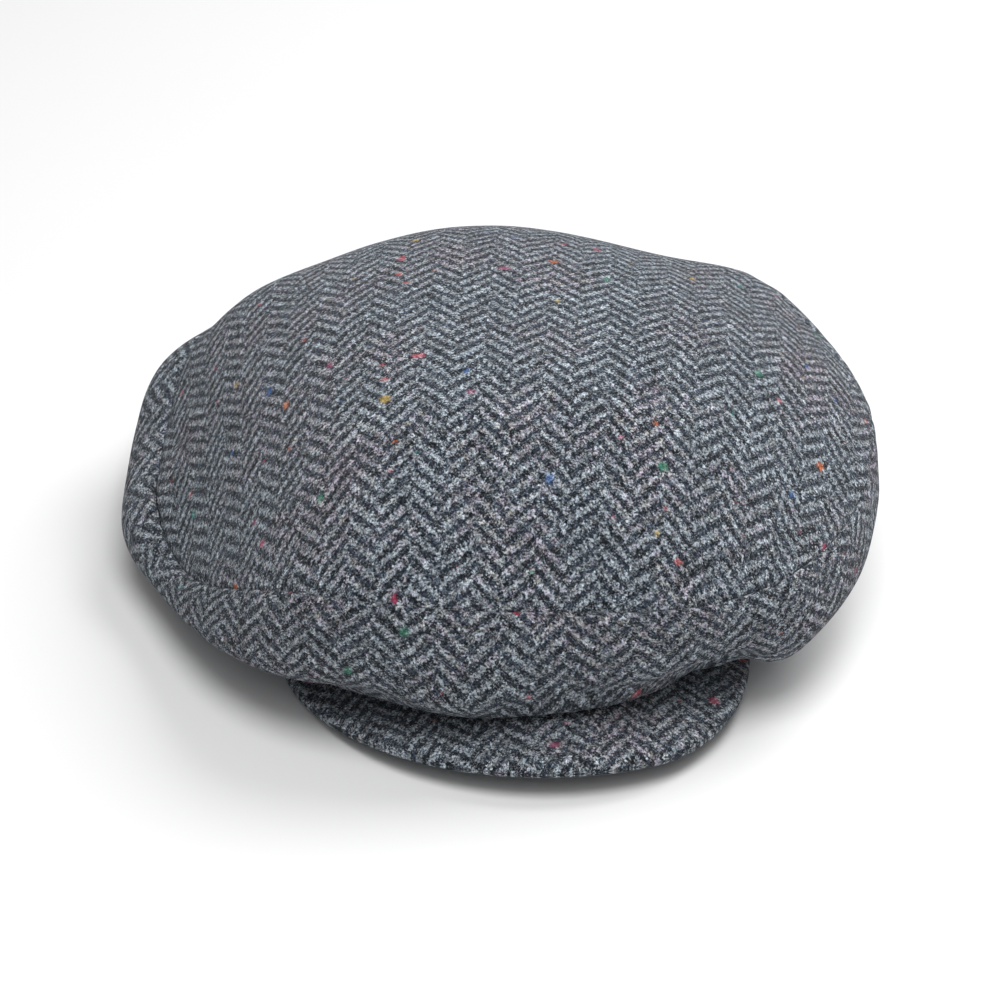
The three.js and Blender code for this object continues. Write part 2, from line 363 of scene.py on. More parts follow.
def ring_order():
    """The grid's edge points in order of direction, starting at direction zero."""
    last, half = TOP_CELLS, TOP_CELLS // 2
    edge = [(last, j) for j in range(half, last)]
    edge += [(i, last) for i in range(last, 0, -1)]
    edge += [(0, j) for j in range(last, 0, -1)]
    edge += [(i, 0) for i in range(0, last)]
    edge += [(last, j) for j in range(0, half)]
    return np.array([i * (last + 1) + j for i, j in edge])


def sample(field, line, x, y):
    """A regular grid's values at places between its points."""
    step = line[1] - line[0]
    px = np.clip((x - line[0]) / step, 0, len(line) - 1.001)
    py = np.clip((y - line[0]) / step, 0, len(line) - 1.001)
    i, j = np.floor(px).astype(int), np.floor(py).astype(int)
    fx, fy = px - i, py - j
    return ((1 - fx) * (1 - fy) * field[i, j] + fx * (1 - fy) * field[i + 1, j]
            + (1 - fx) * fy * field[i, j + 1] + fx * fy * field[i + 1, j + 1])


def top_weave(x, y):
    """Cloth places on the top panel, by lengths over the dome across and along its grain."""
    reach, step = 170.0, 2.0
    line = np.arange(-reach, reach + step, step)
    u, v = np.meshgrid(line, line, indexing="ij")
    cos, sin = math.cos(CROWN_GRAIN), math.sin(CROWN_GRAIN)
    gx, gy = cos * u - sin * v, sin * u + cos * v
    limit = 1.03 * around(SEAM_RADIUS, np.arctan2(gx, -gy))
    shrink = np.minimum(1, limit / np.maximum(np.hypot(gx, gy), 1e-6))
    height = dome_height(gx * shrink, gy * shrink)
    slope_u, slope_v = np.gradient(height, step)
    steepest = 9.0
    long_u = np.cumsum(np.sqrt(1 + np.minimum(slope_u**2, steepest)), axis=0) * step
    long_v = np.cumsum(np.sqrt(1 + np.minimum(slope_v**2, steepest)), axis=1) * step
    middle = len(line) // 2
    long_u -= long_u[middle : middle + 1]
    long_v -= long_v[:, middle : middle + 1]
    at_u, at_v = cos * x + sin * y, -sin * x + cos * y
    across, along = sample(long_u, line, at_u, at_v), sample(long_v, line, at_u, at_v)
    return np.stack([across + COLUMN_SHIFT, along], axis=-1)


share, direction = disc_grid()
share = (share * (1 + EDGE_CROWDING * (1 - share))).ravel()
direction = direction.ravel()
radius = share * around(SEAM_RADIUS, direction)
height = dome_height(radius * np.sin(direction), -radius * np.cos(direction))
top_points = place(radius, height, direction)
top_uv = top_weave(*(top_points[:, :2] - CROWN_TOP[:2]).T)
TOP_SIDE = TOP_CELLS + 1
top_faces = strip_faces(TOP_SIDE, TOP_SIDE, wrap=False)

ring = ring_order()
ring_direction = direction[ring]
row_t = 2 * np.linspace(0, 1, BAND_ROWS + 1)[:, None] ** ROW_CROWDING
band_radius, band_height = band_path(*np.broadcast_arrays(ring_direction[None, :], row_t))
rim_radius, rim_z = rim_point(ring_direction)
for inward, upward in HEM:
    band_radius = np.vstack([band_radius, rim_radius + inward])
    band_height = np.vstack([band_height, rim_z + upward])
band_points = place(band_radius, band_height, ring_direction[None, :])
ROWS = len(band_points)
steps_down = np.linalg.norm(np.diff(band_points, axis=0), axis=-1)
below = np.vstack([np.zeros(AROUND), np.cumsum(steps_down, axis=0)])
steps_round = np.linalg.norm(np.roll(band_points[0], -1, axis=0) - band_points[0], axis=-1)
girth = np.concatenate([[0], np.cumsum(steps_round)])
half_round = AROUND // 2
long_round = np.where(np.arange(AROUND) < half_round, girth[:-1], girth[:-1] - girth[-1])
# The band is another piece of the cloth, whole repeats of the weave away
front_uv = top_uv[ring[0]] + [2 * ENDS_IN_COLUMN * END_PITCH * 40, 4 * PICK_PITCH * 200]
band_uv = np.stack([front_uv[0] + long_round + 0 * below, front_uv[1] + below], axis=-1)

# One skin: the top panel's points first, then the band's rows below the seam
skin = np.vstack([top_points, band_points[1:].reshape(-1, 3)])
TOP_COUNT = len(top_points)
band_index = np.vstack([ring, TOP_COUNT + np.arange((ROWS - 1) * AROUND).reshape(ROWS - 1, AROUND)])
band_faces = [tuple(band_index.ravel()[k] for k in face)
              for face in strip_faces(ROWS, AROUND, wrap=True)]
skin_faces = top_faces + band_faces
seam_gap = np.hypot(radius - around(SEAM_RADIUS, direction),
                    height - around(SEAM_HEIGHT, direction))
from_seam = np.concatenate([seam_gap, below[1:].ravel()])
skin_direction = np.concatenate([direction, np.tile(ring_direction, ROWS - 1)])
fixed_row = BAND_ROWS - 1
held = np.zeros(len(skin))
held[band_index[fixed_row:].ravel()] = 1.0


def swelled(points, normals):
    """The crown with its broad swellings, each fading out with distance."""
    middle = np.append(HEAD, 0)
    total = np.zeros(len(points))
    for centre, reach, amount in SWELLS:
        distance = np.linalg.norm(points - middle - np.array(centre), axis=1)
        total += amount * np.exp(-((distance / reach) ** 2) * 2)
    return points + normals * (total * (1 - held))[:, None]


def smoothed(values, faces, rounds):
    """Values at a mesh's points, each drawn towards the mean of its neighbours' again and again."""
    corners = np.asarray(faces)
    start = np.concatenate([corners[:, k] for k in range(4)])
    end = np.concatenate([corners[:, (k + 1) % 4] for k in range(4)])
    start, end = np.concatenate([start, end]), np.concatenate([end, start])
    count = np.bincount(start, minlength=len(values))[:, None]
    for _ in range(rounds):
        totals = [np.bincount(start, values[end, k], len(values)) for k in range(3)]
        values = (values + np.stack(totals, axis=-1) / count) / 2
    return values


def settled(points, faces):
    """Where slack cloth comes to rest over its form, held fast at the rim and softly elsewhere."""
    obj = mesh_object("slack_cloth", points, faces)
    group = obj.vertex_groups.new(name="held")
    group.add([int(i) for i in np.flatnonzero(held == 1)], 1.0, "REPLACE")
    group.add([int(i) for i in np.flatnonzero(held < 1)], 0.25, "REPLACE")
    cloth = obj.modifiers.new("cloth", "CLOTH")
    settings = cloth.settings
    settings.quality = 5
    settings.mass = 0.25
    settings.tension_stiffness = 20
    settings.compression_stiffness = 20
    settings.shear_stiffness = 10
    settings.bending_stiffness = 1.2
    settings.vertex_group_mass = "held"
    settings.pin_stiffness = 1.0
    settings.shrink_min = -SLACK
    settings.effector_weights.gravity = 0.4
    cloth.collision_settings.use_collision = False
    cloth.point_cache.frame_start = 1
    cloth.point_cache.frame_end = SETTLE_FRAMES
    scene = bpy.context.scene
    for number in range(1, SETTLE_FRAMES + 1):
        scene.frame_set(number)
    graph = bpy.context.evaluated_depsgraph_get()
    moved = read_points(obj.evaluated_get(graph).data) - points
    moved = smoothed(moved, faces, SETTLE_SMOOTHING) * (1 - held)[:, None]
    bpy.data.objects.remove(obj)
    scene.frame_set(1)
    length = np.linalg.norm(moved, axis=1, keepdims=True)
    return points + moved / (1 + (length / SETTLE_LIMIT) ** 3) ** (1 / 3)


def rested(points):
    """The crown with its front's underside let down on to the peak."""
    x, y = (points[:, :2] - HEAD).T
    direction = np.arctan2(x, -y)
    rim = distance_to_rim(0, 0, direction)
    out = np.hypot(x, y) - rim
    peak_middle = rim_height(-rim * np.cos(direction)) - math.tan(PEAK_SLOPE) * out
    gap = points[:, 2] - peak_middle - PEAK_HALF_THICKNESS - REST_GAP
    share = ease((REST_ANGLES[0] - np.abs(direction)) / REST_ANGLES[1])
    share *= ease(out / REST_OUT[0]) * ease((REST_OUT[1] - out) / REST_OUT[2])
    share *= ease((REST_HEIGHT[0] - gap) / REST_HEIGHT[1])
    lowered = points.copy()
    lowered[:, 2] -= REST_SHARE * share * np.maximum(0, gap)
    return lowered


skin = swelled(skin, normals_of(skin, skin_faces))
skin = settled(skin, skin_faces)
skin = rested(skin)
skin_normals = normals_of(skin, skin_faces)

# The seam's groove and puckers
wave = ripple(skin_direction, range(PUCKERS - 12, PUCKERS + 13, 4), seed=4)
groove = SEAM_GROOVE * np.exp(-((from_seam / SEAM_REACH) ** 2)) * (1 + 0.25 * wave)
pucker = PUCKER_HEIGHT * wave * np.exp(-((from_seam / PUCKER_REACH) ** 2))
outer = skin + skin_normals * (pucker - groove)[:, None]
outer[:, 2] = np.maximum(outer[:, 2], 0.1)

# ---------------------------------------------------------------- node expressions


def node_maths(operation):
    """A method that adds one maths node to the tree."""

    def method(self, *others):
        node = self.tree.nodes.new("ShaderNodeMath")
        node.operation = operation
        for i, value in enumerate((self, *others)):
            connect(self.tree, value, node.inputs[i])
        return Socket(self.tree, node.outputs[0])

    return method


class Socket:
    """A shader value that ordinary arithmetic builds maths nodes from."""

    def __init__(self, tree, socket):
        self.tree, self.socket = tree, socket

    __add__ = __radd__ = node_maths("ADD")
    __sub__ = node_maths("SUBTRACT")
    __mul__ = __rmul__ = node_maths("MULTIPLY")
    __truediv__ = node_maths("DIVIDE")
    __mod__ = node_maths("FLOORED_MODULO")
    __pow__ = node_maths("POWER")
    __lt__ = node_maths("LESS_THAN")
    floor = node_maths("FLOOR")
    frac = node_maths("FRACT")
    abs = node_maths("ABSOLUTE")
    sqrt = node_maths("SQRT")
    at_least = node_maths("MAXIMUM")

    def __rsub__(self, other):
        return self * -1 + other


def connect(tree, value, target):
    if isinstance(value, Socket):
        tree.links.new(value.socket, target)
    else:
        target.default_value = value


class Material:
    """A node material with a Principled shader, and short calls for its usual nodes."""

    def __init__(self, name, roughness=0.8, specular=0.3, sheen=0.0, sheen_roughness=0.5):
        self.made = bpy.data.materials.new(name)
        self.made.use_nodes = True
        self.tree = self.made.node_tree
        self.shader = self.tree.nodes["Principled BSDF"]
        self.shader.inputs["Roughness"].default_value = roughness
        self.shader.inputs["Specular IOR Level"].default_value = specular
        self.shader.inputs["Sheen Weight"].default_value = sheen
        self.shader.inputs["Sheen Roughness"].default_value = sheen_roughness

    def cloth_place(self):
        node = self.tree.nodes.new("ShaderNodeUVMap")
        node.uv_map = "weave"
        return self.split(node.outputs["UV"])

    def object_place(self):
        node = self.tree.nodes.new("ShaderNodeTexCoord")
        return Socket(self.tree, node.outputs["Object"])

    def split(self, vector):
        node = self.tree.nodes.new("ShaderNodeSeparateXYZ")
        self.tree.links.new(vector.socket if isinstance(vector, Socket) else vector, node.inputs[0])
        return [Socket(self.tree, out) for out in node.outputs]

    def vector(self, x=0.0, y=0.0, z=0.0):
        node = self.tree.nodes.new("ShaderNodeCombineXYZ")
        for value, target in zip((x, y, z), node.inputs):
            connect(self.tree, value, target)
        return Socket(self.tree, node.outputs[0])

    def noise(self, vector, scale, detail=2.0, roughness=0.5):
        node = self.tree.nodes.new("ShaderNodeTexNoise")
        node.inputs["Scale"].default_value = scale
        node.inputs["Detail"].default_value = detail
        node.inputs["Roughness"].default_value = roughness
        connect(self.tree, vector, node.inputs["Vector"])
        return Socket(self.tree, node.outputs["Fac"])

    def noises(self, vector, scale, detail=2.0, roughness=0.5):
        """Three noises of one kind that have nothing to do with each other."""
        fac = self.noise(vector, scale, detail, roughness)
        return self.split(fac.socket.node.outputs["Color"])

    def chance(self, vector):
        """A random value from 0 to 1 for each vector."""
        node = self.tree.nodes.new("ShaderNodeTexWhiteNoise")
        node.noise_dimensions = "3D"
        connect(self.tree, vector, node.inputs["Vector"])
        return Socket(self.tree, node.outputs["Value"])

    def mix(self, share, a, b):
        """Mixes colours. Each is a socket or an (r, g, b)."""
        node = self.tree.nodes.new("ShaderNodeMix")
        node.data_type = "RGBA"
        node.clamp_factor = True
        connect(self.tree, share, node.inputs[0])
        for value, target in ((a, node.inputs[6]), (b, node.inputs[7])):
            if isinstance(value, Socket):
                self.tree.links.new(value.socket, target)
            else:
                target.default_value = (*value, 1.0)
        return Socket(self.tree, node.outputs[2])

    def scaled(self, colour, amount):
        """A colour made brighter or darker by a value."""
        node = self.tree.nodes.new("ShaderNodeVectorMath")
        node.operation = "SCALE"
        if isinstance(colour, Socket):
            self.tree.links.new(colour.socket, node.inputs[0])
        else:
            node.inputs[0].default_value = colour
        connect(self.tree, amount, node.inputs["Scale"])
        return Socket(self.tree, node.outputs[0])

    def palette(self, value, colours):
        """One of several colours, by a value from 0 to 1."""
        node = self.tree.nodes.new("ShaderNodeValToRGB")
        node.color_ramp.interpolation = "CONSTANT"
        stops = node.color_ramp.elements
        while len(stops) < len(colours):
            stops.new(0.5)
        for i, colour in enumerate(colours):
            stops[i].position = i / len(colours)
            stops[i].color = (*colour, 1.0)
        connect(self.tree, value, node.inputs[0])
        return Socket(self.tree, node.outputs[0])

    def ramp(self, value, low, high):
        """0 below low, 1 above high, and even between."""
        node = self.tree.nodes.new("ShaderNodeMapRange")
        node.clamp = True
        connect(self.tree, value, node.inputs[0])
        node.inputs[1].default_value = low
        node.inputs[2].default_value = high
        return Socket(self.tree, node.outputs[0])

    def finish(self, colour, height=None, depth_mm=0.3, strength=0.7):
        self.tree.links.new(colour.socket, self.shader.inputs["Base Color"])
        if height is not None:
            bump = self.tree.nodes.new("ShaderNodeBump")
            bump.inputs["Distance"].default_value = depth_mm * MM
            bump.inputs["Strength"].default_value = strength
            connect(self.tree, height, bump.inputs["Height"])
            self.tree.links.new(bump.outputs[0], self.shader.inputs["Normal"])
        return self.made


# ---------------------------------------------------------------- materials

LIGHT_YARN = (0.305, 0.345, 0.385)
DARK_YARN = (0.015, 0.02, 0.029)
BROWN_WOOL = (0.31, 0.29, 0.25)
PURPLE_WOOL = (0.32, 0.27, 0.35)
BLUE_WOOL = (0.25, 0.34, 0.4)
FLECKS = [
    (0.6, 0.05, 0.13), (0.75, 0.2, 0.06), (0.06, 0.38, 0.32), (0.66, 0.45, 0.1),
    (0.6, 0.08, 0.08), (0.06, 0.18, 0.5), (0.42, 0.1, 0.2), (0.66, 0.12, 0.15), (0.06, 0.3, 0.18),
]


def tweed_material():
    """Herringbone twill: light ends float over dark picks, and coloured nubs of wool show."""
    m = Material("donegal_tweed", roughness=0.92, specular=0.08, sheen=0.08, sheen_roughness=0.5)
    u, v, _ = m.cloth_place()
    drift = m.noise(m.vector(u, v), 0.11, detail=2.0) - 0.5
    waver = m.noise(m.vector(u, v, 9.0), 0.35, detail=1.0) - 0.5
    ragged_u, ragged_v, speckle = m.noises(m.vector(u, v, 15.0), 1.15, detail=2.0, roughness=0.6)
    U = u / END_PITCH + drift * 1.1 + waver * 0.6 + (ragged_u - 0.5) * 3.4
    V = v / PICK_PITCH + waver * 0.9 - drift * 1.1 + (ragged_v - 0.5) * 3.9
    end, pick = U.floor(), V.floor()
    odd = (U / ENDS_IN_COLUMN).floor() % 2
    turn = 1 - odd * 2
    warp_up = ((pick + turn * end + odd) % 4) < 2
    warp_phase = V + turn * end + odd
    weft_phase = pick + turn * (U - 0.5) + 0.5 + odd
    warp_height = yarn_float(warp_phase % 4 - 1, U.frac() * 2 - 1)
    weft_height = yarn_float(weft_phase % 4 - 3, V.frac() * 2 - 1) * 0.75
    height = warp_height * warp_up + weft_height * (1 - warp_up)

    # Fibres run along each yarn, and each float has its own shade
    warp_fibre = m.noise(m.vector(u * 1.7, v * 0.9), 1.0, detail=4.0, roughness=0.8)
    weft_fibre = m.noise(m.vector(u * 0.9, v * 1.8, 5.0), 1.0, detail=4.0, roughness=0.8)
    float_shade = m.chance(m.vector(end, (warp_phase / 4).floor(), 7.0))
    weft_shade = m.chance(m.vector(pick, (weft_phase / 4).floor(), 8.0))
    cloud = m.noise(m.vector(u, v, 40.0), 0.03, detail=2.0)
    light_tone = 0.25 + m.ramp(warp_fibre, 0.28, 0.72) * 1.25
    light_tone = light_tone * (0.75 + float_shade * 0.5)
    hue_a, hue_b, hue_c = m.noises(m.vector(u, v, 60.0), 0.4, detail=3.0, roughness=0.65)
    warmth = (cloud - 0.5) * 0.6
    light = m.mix(m.ramp(hue_a + warmth, 0.5, 0.68) * 0.75, LIGHT_YARN, BROWN_WOOL)
    light = m.mix(m.ramp(hue_b + warmth, 0.5, 0.68) * 0.75, light, PURPLE_WOOL)
    light = m.mix(m.ramp(hue_c, 0.54, 0.72) * 0.6, light, BLUE_WOOL)
    dark_tone = (0.35 + m.ramp(weft_fibre, 0.4, 0.68) * 3.0) * (0.4 + weft_shade * 1.5)
    cloth = m.mix(warp_up, m.scaled(DARK_YARN, dark_tone), m.scaled(light, light_tone))
    # Loose hairs lie over both, most of them slanting with the twill one way or the other
    hair_right = m.noise(m.vector(u * 1.6 - v * 1.6, u * 0.35 + v * 0.35, 21.0), 1.0, detail=2.0)
    hair_left = m.noise(m.vector(u * 1.6 + v * 1.6, u * 0.35 - v * 0.35, 33.0), 1.0, detail=2.0)
    cloth = m.mix(m.ramp(hair_right, 0.56, 0.66) * 0.5, cloth, light)
    cloth = m.mix(m.ramp(hair_left, 0.57, 0.67) * 0.45, cloth, light)
    cloth = m.mix(m.ramp(hair_right, 0.42, 0.33) * 0.7, cloth, DARK_YARN)
    cloth = m.mix(m.ramp(hair_left, 0.42, 0.33) * 0.7, cloth, DARK_YARN)
    grit = 0.25 + m.ramp(speckle, 0.37, 0.63) * 1.5
    # Painted shade: each yarn is darker towards the ends and sides of its float, where it dips
    # between its neighbours; grit and cloud are the wool's own speckle and colour drift
    cloth = m.scaled(cloth, (0.5 + height * 0.6) * grit * (0.9 + cloud * 0.2))

    # Nubs: a few places hold a small tuft of dyed wool
    pitch_u, pitch_v = 13.0, 10.0
    row = (v / pitch_v).floor()
    nub_u = u / pitch_u + m.chance(m.vector(row, 3.0, 1.0)) * 7
    column = nub_u.floor()
    cell = [m.chance(m.vector(column, row, float(k))) for k in range(2, 8)]
    off_u = (nub_u.frac() - 0.25 - cell[1] * 0.5) * pitch_u + (ragged_u - 0.5) * 3.5
    off_v = ((v / pitch_v).frac() - 0.25 - cell[2] * 0.5) * pitch_v + (ragged_v - 0.5) * 3.5
    stretch = 0.55 + cell[5] * 0.9
    distance = (off_u * off_u * stretch + off_v * off_v / stretch).sqrt()
    tuft = m.ramp(0.3 + cell[3] * cell[3] * 1.5 - distance, -0.3, 0.3) * (cell[0] < 0.27)
    colour = m.scaled(m.palette(cell[4], FLECKS), (0.3 + warp_fibre * 0.9) * (0.5 + grit * 0.5))
    cloth = m.mix(tuft * m.ramp(warp_fibre, 0.75, 0.4) * 0.85, cloth, colour)
    height = height + tuft * 0.2 + (warp_fibre - 0.5) * 0.8 + (speckle - 0.5) * 1.2
    return m.finish(cloth, height, depth_mm=0.5, strength=0.75)


def yarn_float(along, across):
    """Height of a yarn's float, from its middle out to its ends and sides."""
    return (1 - across * across).at_least(0).sqrt() * (1 - (along.abs() ** 4) * 0.75).at_least(0)


def woven_material(name, colour, yarn, roughness, sheen, hollow_shade=0.35, specular=0.3):
    """A plain, fine weave: ribs across and along, with painted shade in the hollows between them,
    and a little colour drift.
    """
    m = Material(name, roughness=roughness, specular=specular, sheen=sheen)
    u, v, _ = m.cloth_place()
    rib = ((u / yarn).frac() - 0.5).abs() * 2
    cross = ((v / yarn).frac() - 0.5).abs() * 2
    height = 1 - (rib**1.5) * 0.5 - (cross**1.5) * 0.5
    drift = m.noise(m.vector(u, v), 0.06, detail=3.0)
    fibre = m.noise(m.vector(u, v), 2.0, detail=2.0)
    # Painted shade: the colour is darker in the hollows between the ribs; drift and fibre are the
    # cloth's own tone
    tone = (1 - hollow_shade) + height * hollow_shade + (drift - 0.5) * 0.4 + (fibre - 0.5) * 0.3
    return m.finish(m.scaled(colour, tone), height, depth_mm=0.12, strength=0.5)


def satin_material(name, colour):
    """Satin lining: smooth and faintly streaked along its grain, with a silky highlight."""
    m = Material(name, roughness=0.36, specular=0.5, sheen=0.3, sheen_roughness=0.3)
    u, v, _ = m.cloth_place()
    streak = m.noise(m.vector(u * 3.0, v * 0.12), 1.0, detail=2.0)
    drift = m.noise(m.vector(u, v, 3.0), 0.025, detail=2.0)
    tone = 0.8 + streak * 0.35 + (drift - 0.5) * 0.3
    return m.finish(m.scaled(colour, tone), streak, depth_mm=0.05, strength=0.3)


def plastic_material():
    m = Material("board_plastic", roughness=0.5, specular=0.5)
    grain = m.noise(m.object_place(), 900.0, detail=3.0)
    return m.finish(m.scaled((0.03, 0.03, 0.032), 0.8 + grain * 0.4), grain, 0.03, 0.4)


def thread_material(name, colour):
    m = Material(name, roughness=0.6, specular=0.4, sheen=0.2)
    twist = m.noise(m.object_place(), 2500.0, detail=1.0)
    return m.finish(m.scaled(colour, 0.7 + twist * 0.6), twist, 0.05, 0.5)


def floor_material():
    m = Material("floor", roughness=0.75, specular=0.25)
    drift = m.noise(m.object_place(), 3.0, detail=2.0)
    return m.finish(m.scaled((0.73, 0.73, 0.73), 0.98 + drift * 0.04))


TWEED = tweed_material()
LINING = satin_material("satin_lining", (0.04, 0.042, 0.052))
COTTON = woven_material("ribbed_cotton", (0.032, 0.032, 0.036), 0.9, 0.85, 0.15)
CANVAS = woven_material("canvas", (0.09, 0.09, 0.09), 0.8, 0.9, 0.05)
LABEL = woven_material("woven_label", (0.62, 0.6, 0.53), 0.45, 0.5, 0.2, hollow_shade=0.2)
THREAD = thread_material("dark_thread", (0.05, 0.05, 0.058))
PALE_THREAD = thread_material("pale_thread", (0.4, 0.39, 0.35))
BOARD = plastic_material()


def wear(obj, material, body="crown", node=None):
    """Gives a piece its material and slot, the body it rides, and the CAD node it stands for."""
    obj.data.materials.clear()
    obj.data.materials.append(material)
    if body:
        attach(obj, body)
    if node:
        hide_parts(node)
    return obj


# ---------------------------------------------------------------- crown pieces


def cut_open(grid):
    """A closed ring's columns from its back seam round to the back seam again."""
    order = np.r_[half_round:AROUND, 0 : half_round + 1]
    return np.take(grid, order, axis=1)


def band_piece(name, rows, thickness, thinning=1, smooth=0):
    """A piece of the side band from rows of points, with its seam at the back."""
    points = cut_open(rows)[:, ::thinning]
    places = cut_open(band_uv)[: len(rows)][:, ::thinning].copy()
    places[:, -1, 0] = places[:, -2, 0] * 2 - places[:, -3, 0]
    faces = strip_faces(len(rows), points.shape[1], wrap=False)
    return cloth_piece(name, points.reshape(-1, 3), faces, places.reshape(-1, 2), thickness, smooth)


top_panel = cloth_piece("crown_top_panel_cloth", outer[:TOP_COUNT], top_faces, top_uv,
                        TWEED_THICKNESS, smooth=1)
wear(top_panel, TWEED, node="crown_top_panel")
side_band = band_piece("crown_side_band_cloth", outer[band_index], TWEED_THICKNESS, smooth=1)
wear(side_band, TWEED, node="crown_side_band")


def top_layer(name, depth, thickness, reach):
    """An inner layer under the top panel, cut a little short of the seam."""
    side = TOP_CELLS // 2 + 1
    pick = np.arange(TOP_COUNT).reshape(TOP_SIDE, TOP_SIDE)[::2, ::2]
    inside = (skin - skin_normals * depth)[:TOP_COUNT]
    middle = inside[TOP_COUNT // 2]
    points = middle + (inside[pick.ravel()] - middle) * reach
    faces = strip_faces(side, side, wrap=False)
    return cloth_piece(name, points, faces, top_uv[pick.ravel()], thickness, smooth=1)


inner_top = top_layer("top_interlining_canvas", INTERLINING_DEPTH, INTERLINING_THICKNESS, 0.97)
wear(inner_top, CANVAS, node="top_interlining")
lining_top = top_layer("lining_top_satin", LINING_DEPTH, LINING_THICKNESS, 0.985)
wear(lining_top, LINING, node="lining_top")

canvas_rows = band_index[3 : BAND_ROWS - 2]
canvas_points = (skin - skin_normals * INTERLINING_DEPTH)[canvas_rows]
canvas_band = band_piece("band_interlining_canvas", canvas_points, INTERLINING_THICKNESS,
                         thinning=2)
wear(canvas_band, CANVAS, node="band_interlining")

# ---------------------------------------------------------------- side linings

LINING_ROWS = 14
LINING_GATHER = 1.1


def lining_side(name, first, last, seed):
    """Half of the side lining, hanging from the seam and gathered to the sweatband."""
    pick = np.arange(first, last + 1) % AROUND
    angle = ring_direction[pick]
    start = (skin - skin_normals * (LINING_DEPTH + 0.3))[ring[pick]]
    start += (skin[TOP_COUNT // 2] - start) * [0.012, 0.012, 0]
    radius, low = rim_point(angle)
    end = place(radius - SWEATBAND_DEPTH - 0.2, low + SWEATBAND_HEIGHT + 0.5, angle)
    outward = np.stack([np.sin(angle), -np.cos(angle), 0 * angle], axis=-1)
    gather = ripple(angle, range(38, 66, 3), seed)
    drape = ripple(angle, (5, 7, 11, 13), seed + 1)
    rows = []
    for t in np.linspace(0, 1, LINING_ROWS + 1):
        fold = LINING_GATHER * gather * t**0.8 * (1 - 0.6 * t**6)
        sag = (2.2 + 1.3 * drape) * math.sin(math.pi * t) ** 0.8
        point = start + (end - start) * t - outward * (fold + 0.4 * sag)[:, None]
        point[:, 2] -= sag
        rows.append(point)
    rows = np.array(rows)
    lengths = np.cumsum(np.linalg.norm(np.diff(rows, axis=0), axis=-1), axis=0)
    v = np.vstack([np.zeros(len(pick)), lengths])
    along = girth[first] + np.concatenate([[0], np.cumsum(steps_round[pick[:-1]])])
    u = np.tile(along, (len(rows), 1))
    faces = strip_faces(len(rows), len(pick), wrap=False)
    uv = np.stack([u, v], axis=-1).reshape(-1, 2)
    return cloth_piece(name, rows.reshape(-1, 3), faces, uv, -LINING_THICKNESS, smooth=1)


right_lining = lining_side("lining_side_right_satin", 0, half_round, 21)
wear(right_lining, LINING, node="lining_side_right")
left_lining = lining_side("lining_side_left_satin", half_round, AROUND, 31)
wear(left_lining, LINING, node="lining_side_left")

# ---------------------------------------------------------------- sweatband, tape and labels


def wall_piece(name, directions, low, high, depth, thickness, rows, waver, crown=0.0):
    """An upright strip inside the rim: its face looks inwards to the head."""
    angle = np.asarray(directions)
    radius, base = rim_point(angle)
    across = np.linspace(0, 1, rows + 1)[:, None]
    z = base + low + (high - low) * (1 - across)
    edge = np.minimum(1, np.minimum(across, 1 - across) / 0.06)
    rounding = thickness * 0.5 * (1 - edge**0.5)
    face = radius - depth - thickness + waver(angle)[None, :] * edge + rounding
    points = place(face - crown * 4 * across * (1 - across), z, angle[None, :])
    steps = np.linalg.norm(np.diff(points[0], axis=0), axis=-1)
    u = np.tile(np.concatenate([[0], np.cumsum(steps)]), (rows + 1, 1))
    v = (high - low) * across + 0 * u
    faces = [face[::-1] for face in strip_faces(rows + 1, len(angle), wrap=False)]
    uv = np.stack([u, v], axis=-1).reshape(-1, 2)
    return cloth_piece(name, points.reshape(-1, 3), faces, uv, thickness * 0.9, smooth=0)


def wall_places(directions, up, depth):
    """Points on the inner face of the sweatband, and the way it faces."""
    radius, base = rim_point(directions)
    points = place(radius - depth, base + up, directions)
    facing = np.stack([-np.sin(directions), np.cos(directions), 0 * directions], axis=-1)
    return points, facing


all_round = np.linspace(math.pi, 3 * math.pi, 361)
sweatband = wall_piece("sweatband_cotton", all_round, 0, SWEATBAND_HEIGHT, SWEATBAND_DEPTH,
                       SWEATBAND_THICKNESS, 16, lambda a: 0.12 * ripple(a, range(9, 30, 4), 51))
wear(sweatband, COTTON, node="sweatband")
tape_angles = math.pi + TAPE_HALF_ANGLE * np.linspace(-1, 1, 15)
tape = wall_piece("sweatband_back_tape_cotton", tape_angles, *TAPE_HEIGHTS, TAB_DEPTH,
                  TAB_THICKNESS, 16, lambda a: 0 * a, crown=0.2)
wear(tape, COTTON, node="sweatband_back_tape")
tab_angles = TAB_DIRECTION + TAB_HALF_ANGLE * np.linspace(-1, 1, 15)
size_tab = wall_piece("size_tab_woven", tab_angles, *TAB_HEIGHTS, TAB_DEPTH, TAB_THICKNESS, 12,
                      lambda a: 0 * a, crown=0.4)
wear(size_tab, LABEL, node="size_tab")

STITCH_PITCH = math.radians(2.0)
STITCH_SHARE = 0.62
STITCH_INSET = 2.2
stitch_at = np.arange(0, FULL_TURN, STITCH_PITCH)
starts, ends, lifts = [], [], []
for up in (STITCH_INSET, SWEATBAND_HEIGHT - STITCH_INSET):
    face = SWEATBAND_DEPTH + SWEATBAND_THICKNESS + 0.05
    start, facing = wall_places(stitch_at, up, face)
    end, _ = wall_places(stitch_at + STITCH_PITCH * STITCH_SHARE, up, face)
    starts.append(start)
    ends.append(end)
    lifts.append(facing)
band_stitches = stitches("sweatband_stitches", np.vstack(starts), np.vstack(ends), np.vstack(lifts))
wear(band_stitches, THREAD)

LABEL_WIDTH, LABEL_LENGTH, LABEL_THICKNESS = 62.0, 38.0, 0.5
LABEL_CELLS = (32, 20)
LABEL_STITCHES = (26, 16)
LABEL_STITCH_INSET = 1.6


